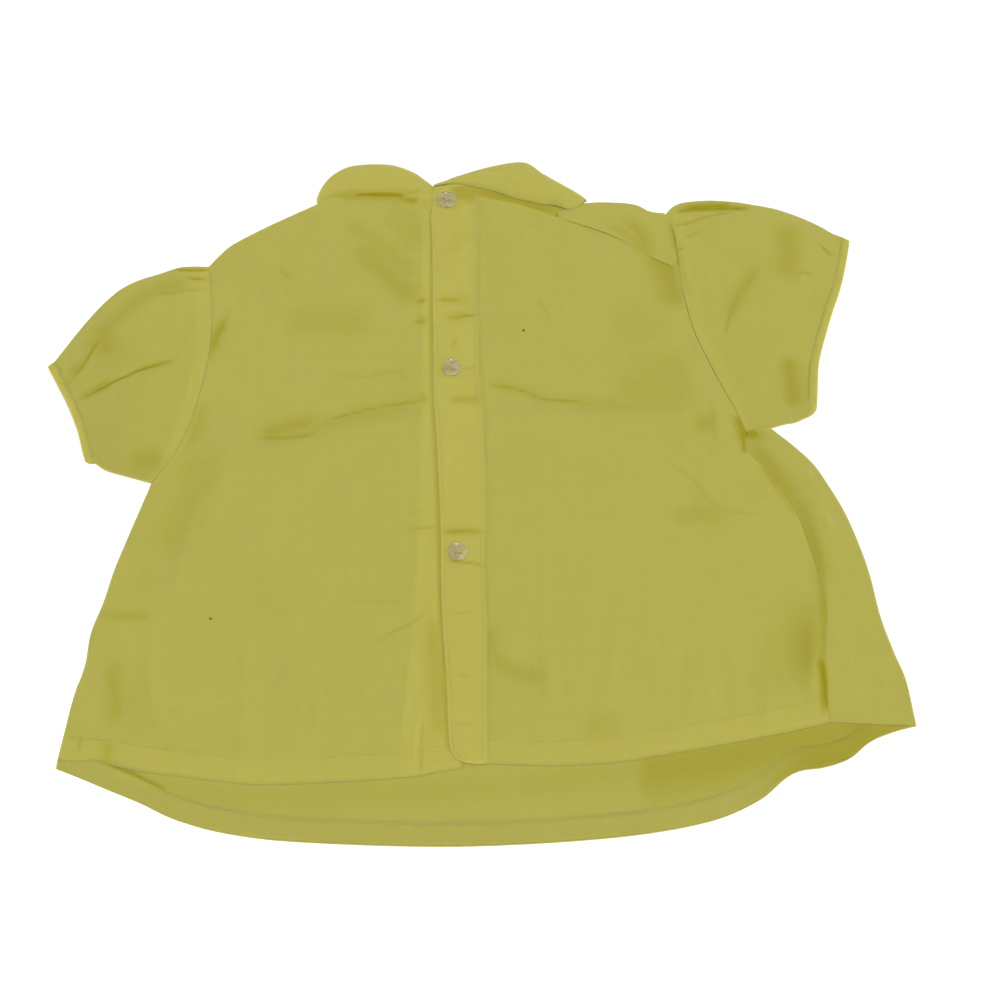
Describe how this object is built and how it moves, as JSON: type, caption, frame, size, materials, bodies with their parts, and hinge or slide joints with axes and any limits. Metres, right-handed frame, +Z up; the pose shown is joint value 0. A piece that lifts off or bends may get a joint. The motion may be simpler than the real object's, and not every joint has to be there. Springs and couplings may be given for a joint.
{
  "type": "smocked dress",
  "caption": "Baby's short-sleeved smocked dress with a turned-down collar, buttoned down the back, laid face down and flat.",
  "frame": {"origin": "on the table under the front panel, below the middle of the back", "axes": "+X towards the wearer's right, along the hem; +Y from hem to neck; +Z up from the table, out of the wearer's back"},
  "size_m": [0.4311, 0.39, 0.0079],
  "materials": {
    "cotton": "fine plain-woven yellow-green cotton, matt",
    "shell_button": "translucent pearly button, glossy"
  },
  "bodies": {
    "root": {"front": "cotton", "back_left": "cotton", "back_right": "cotton", "button_band": "cotton", "sleeve_left": "cotton", "sleeve_right": "cotton", "cuff_left": "cotton", "cuff_right": "cotton", "collar_left": "cotton", "collar_right": "cotton", "button_top": "shell_button", "button_middle": "shell_button", "button_bottom": "shell_button"}
  },
  "joints": []
}
